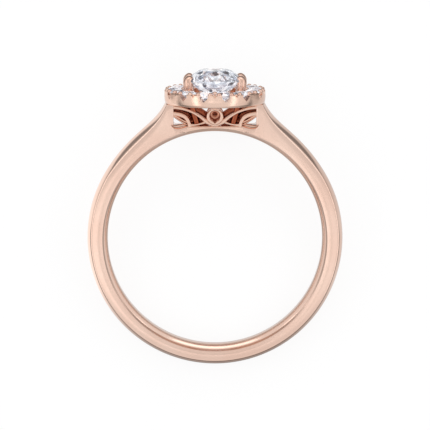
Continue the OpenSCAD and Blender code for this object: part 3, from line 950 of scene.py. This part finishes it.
def studio_camera():
    """A long lens whose sight line meets the ring's plane where the picture's middle lies.

    Seen from the standing ring the camera is in front of the finger hole's middle and raised by a
    few degrees; the frame's width at the ring is the picture's width over its scale.
    """
    data = bpy.data.cameras.new("camera")
    camera = bpy.data.objects.new("camera", data)
    bpy.context.scene.collection.objects.link(camera)
    up = math.radians(CAMERA_ABOVE)
    spot = Vector(place([[0, -CAMERA_AWAY * math.cos(up), CAMERA_AWAY * math.sin(up)]])[0])
    right = (PHOTO_SIZE / 2 - RING_PIXEL[0]) / PIXELS_PER_MM
    head = (RING_PIXEL[1] - PHOTO_SIZE / 2) / PIXELS_PER_MM
    aim = Vector(place([[right, 0, head / math.cos(up)]])[0])
    look_along(camera, spot, aim, Vector(TO_HEAD))
    data.sensor_width = 36.0
    data.lens = data.sensor_width * CAMERA_AWAY * PIXELS_PER_MM / PHOTO_SIZE
    data.clip_start = 0.01
    data.clip_end = 20.0
    bpy.context.scene.camera = camera


def area_light(name, spot, aim, size, brightness):
    """A soft box at a spot in the row frame, in millimetres, that faces its aim.

    Its power is its brightness times pi times its area, so that it looks the same at any size.
    """
    data = bpy.data.lights.new(name, "AREA")
    data.shape = "RECTANGLE"
    data.size, data.size_y = size[0] * MM, size[1] * MM
    data.energy = brightness * math.pi * data.size * data.size_y
    light = bpy.data.objects.new(name, data)
    bpy.context.scene.collection.objects.link(light)
    look_along(light, Vector(spot) * MM, Vector(aim) * MM, Vector((0, 1, 0.01)))
    light.visible_camera = False


def table_finish():
    """Pale paper that takes shadows, glows evenly to the camera, and shows the gold a painted sheen in
    steps.

    The sheen is what glossy rays meet. Inside the finger hole it rises with the distance from the
    hole's middle. Outside it is a product of soft steps: by that distance, from left to right, and
    from the foot of the ring to the head.
    """
    paper = bpy.data.materials.new("pale_table")
    paper.use_nodes = True
    tree = paper.node_tree
    link = tree.links.new
    shader = tree.nodes["Principled BSDF"]
    shader.inputs["Roughness"].default_value = 0.6
    shader.inputs["Specular IOR Level"].default_value = 0.1
    spot = add_node(tree, "ShaderNodeTexCoord", (-1100, 0)).outputs["Object"]
    noise = add_node(tree, "ShaderNodeTexNoise", (-700, 0), Scale=60.0, Detail=3.0)
    tone = add_node(tree, "ShaderNodeMix", (-400, 0), [("data_type", "RGBA")],
                    A=(0.15, 0.15, 0.152, 1), B=(0.17, 0.17, 0.17, 1))
    link(spot, noise.inputs["Vector"])
    link(noise.outputs["Fac"], tone.inputs["Factor"])
    link(tone.outputs["Result"], shader.inputs["Base Color"])

    # The painted sheen's strength: painted light and shade for the gold to reflect, set by place
    distance = add_node(tree, "ShaderNodeVectorMath", (-900, -300), [("operation", "DISTANCE")])
    distance.inputs[1].default_value = (CENTRE[0], CENTRE[1], 0)
    sides = add_node(tree, "ShaderNodeSeparateXYZ", (-900, -600))
    link(spot, distance.inputs[0])
    link(spot, sides.inputs["Vector"])
    away, x, y = distance.outputs["Value"], sides.outputs["X"], sides.outputs["Y"]
    within = ranged(tree, away, (-450, -200), (3 * MM, 8 * MM), (0.29, 0.6))
    outside = ranged(tree, away, (-650, -300), (8.2 * MM, 9.2 * MM))
    across = ranged(tree, x, (-650, -550), (-12 * MM, 12 * MM), (1.0, 0.62))
    along = ranged(tree, y, (-650, -850), (-12 * MM, -6 * MM), (0.3, 1.0))
    beside_head = ranged(tree, y, (-650, -1150), (0.0, 6 * MM), (1.0, 0.85))
    far_off = ranged(tree, away, (-650, -1450), (15.5 * MM, 18.5 * MM), (1.0, 0.12))
    above_foot = ranged(tree, y, (-850, -1750), (-3 * MM, 0.0))
    by_head = ranged(tree, y, (-650, -1750), (8 * MM, 9.5 * MM), (0.8, 0.0))
    around = reckoned(tree, "MULTIPLY", (-400, -600), across, along)
    higher = reckoned(tree, "MULTIPLY", (-300, -800), around, beside_head)
    level = reckoned(tree, "MULTIPLY", (-550, -1700), above_foot, by_head)
    kept = reckoned(tree, "MAXIMUM", (-450, -1600), far_off, level)
    painted_sheen_strength = add_node(tree, "ShaderNodeMix", (-200, -300))
    link(outside, painted_sheen_strength.inputs["Factor"])
    link(within, painted_sheen_strength.inputs["A"])
    link(reckoned(tree, "MULTIPLY", (-250, -1000), higher, kept), painted_sheen_strength.inputs["B"])

    ray = add_node(tree, "ShaderNodeLightPath", (-400, 500))
    glow = add_node(tree, "ShaderNodeEmission", (-100, 400), Color=(1, 1, 1, 1), Strength=TABLE_GLOW)
    painted_sheen = add_node(tree, "ShaderNodeEmission", (0, -300), Color=(1, 1, 1, 1))
    glossy = add_node(tree, "ShaderNodeMixShader", (150, 0))
    both = add_node(tree, "ShaderNodeAddShader", (100, 200))
    shown = add_node(tree, "ShaderNodeMixShader", (300, 300))
    link(painted_sheen_strength.outputs["Result"], painted_sheen.inputs["Strength"])
    link(ray.outputs["Is Glossy Ray"], glossy.inputs["Fac"])
    link(glow.outputs["Emission"], glossy.inputs[1])
    link(painted_sheen.outputs["Emission"], glossy.inputs[2])
    link(shader.outputs["BSDF"], both.inputs[0])
    link(glossy.outputs["Shader"], both.inputs[1])
    link(ray.outputs["Is Diffuse Ray"], shown.inputs["Fac"])
    link(both.outputs["Shader"], shown.inputs[1])
    link(shader.outputs["BSDF"], shown.inputs[2])
    link(shown.outputs["Shader"], tree.nodes["Material Output"].inputs["Surface"])
    return paper


def studio_floor():
    """A wide pale table: a flat disc, in rings that are closer together near the ring."""
    n = 96
    a = np.linspace(0, 2 * np.pi, n, endpoint=False)
    r = np.array([0.0005, 60, 200, 700, 2500])[:, None] * MM
    rings = np.stack([r * np.cos(a), r * np.sin(a), 0 * r * a], axis=-1)
    i, j = np.arange(len(r) - 1)[:, None] * n, np.arange(n)[None, :]
    after = (j + 1) % n
    quads = np.stack([i + j, i + n + j, i + n + after, i + after], axis=-1).reshape(-1, 4)
    mesh = bpy.data.meshes.new("floor")
    mesh.from_pydata(rings.reshape(-1, 3).tolist(), [], quads.tolist() + [list(range(n))])
    mesh.update()
    mesh.materials.append(table_finish())
    floor = bpy.data.objects.new("floor", mesh)
    bpy.context.scene.collection.objects.link(floor)


def studio_world():
    """Soft surroundings: pale above, darker towards the horizon, and plain pale behind the object.

    The tone follows the height of the way that a ray goes, raised by the square of its way sideways
    and by the square of its way past the head.
    """
    world = bpy.data.worlds.new("studio")
    bpy.context.scene.world = world
    world.use_nodes = True
    tree = world.node_tree
    link = tree.links.new
    ray = add_node(tree, "ShaderNodeTexCoord", (-1000, 0))
    way = add_node(tree, "ShaderNodeSeparateXYZ", (-800, 0))
    link(ray.outputs["Generated"], way.inputs["Vector"])
    x, y, z = way.outputs["X"], way.outputs["Y"], way.outputs["Z"]
    sideways = reckoned(tree, "MULTIPLY", (-800, -200), x, x)
    raised = reckoned(tree, "MULTIPLY_ADD", (-700, 150), sideways, SIDE_LIFT, z)
    past_head = reckoned(tree, "MAXIMUM", (-800, -400), y, 0.0)
    head_share = reckoned(tree, "MULTIPLY", (-650, -400), past_head, past_head)
    tones = ((0.0, 0.08), (0.16, 0.08), (0.30, 0.30), (0.46, 0.74), (0.72, 0.86), (0.93, 0.80),
             (1.0, 0.74))
    ramp = ramp_through(tree, (-400, 0), [(at, (tone, tone, tone * 1.01)) for at, tone in tones])
    link(reckoned(tree, "MULTIPLY_ADD", (-600, 300), head_share, HEAD_LIFT, raised), ramp.inputs["Fac"])
    plain = add_node(tree, "ShaderNodeLightPath", (-400, 300))
    seen = add_node(tree, "ShaderNodeMix", (-100, 0), [("data_type", "RGBA")], B=(0.97, 0.97, 0.975, 1))
    link(ramp.outputs["Color"], seen.inputs["A"])
    link(plain.outputs["Is Camera Ray"], seen.inputs["Factor"])
    link(seen.outputs["Result"], tree.nodes["Background"].inputs["Color"])


def studio():
    """Camera, table, surroundings and lights: side strips, a box past the head, cards above the foot."""
    studio_camera()
    studio_floor()
    studio_world()
    area_light("left_strip", (-150, 0, 150), (0, 0, 3), (40, 260), 0.9)
    area_light("right_strip", (150, 0, 150), (0, 0, 3), (34, 260), 0.8)
    area_light("head_box", (0, 230, 150), (0, 5, 3), (240, 70), 0.8)
    area_light("left_card", (-46, -88, 300), (-8, 0, 3), (76, 50), 0.40)
    area_light("right_card", (46, -88, 300), (8, 0, 3), (76, 50), 0.24)
    bpy.context.scene.view_settings.view_transform = "Standard"


studio()
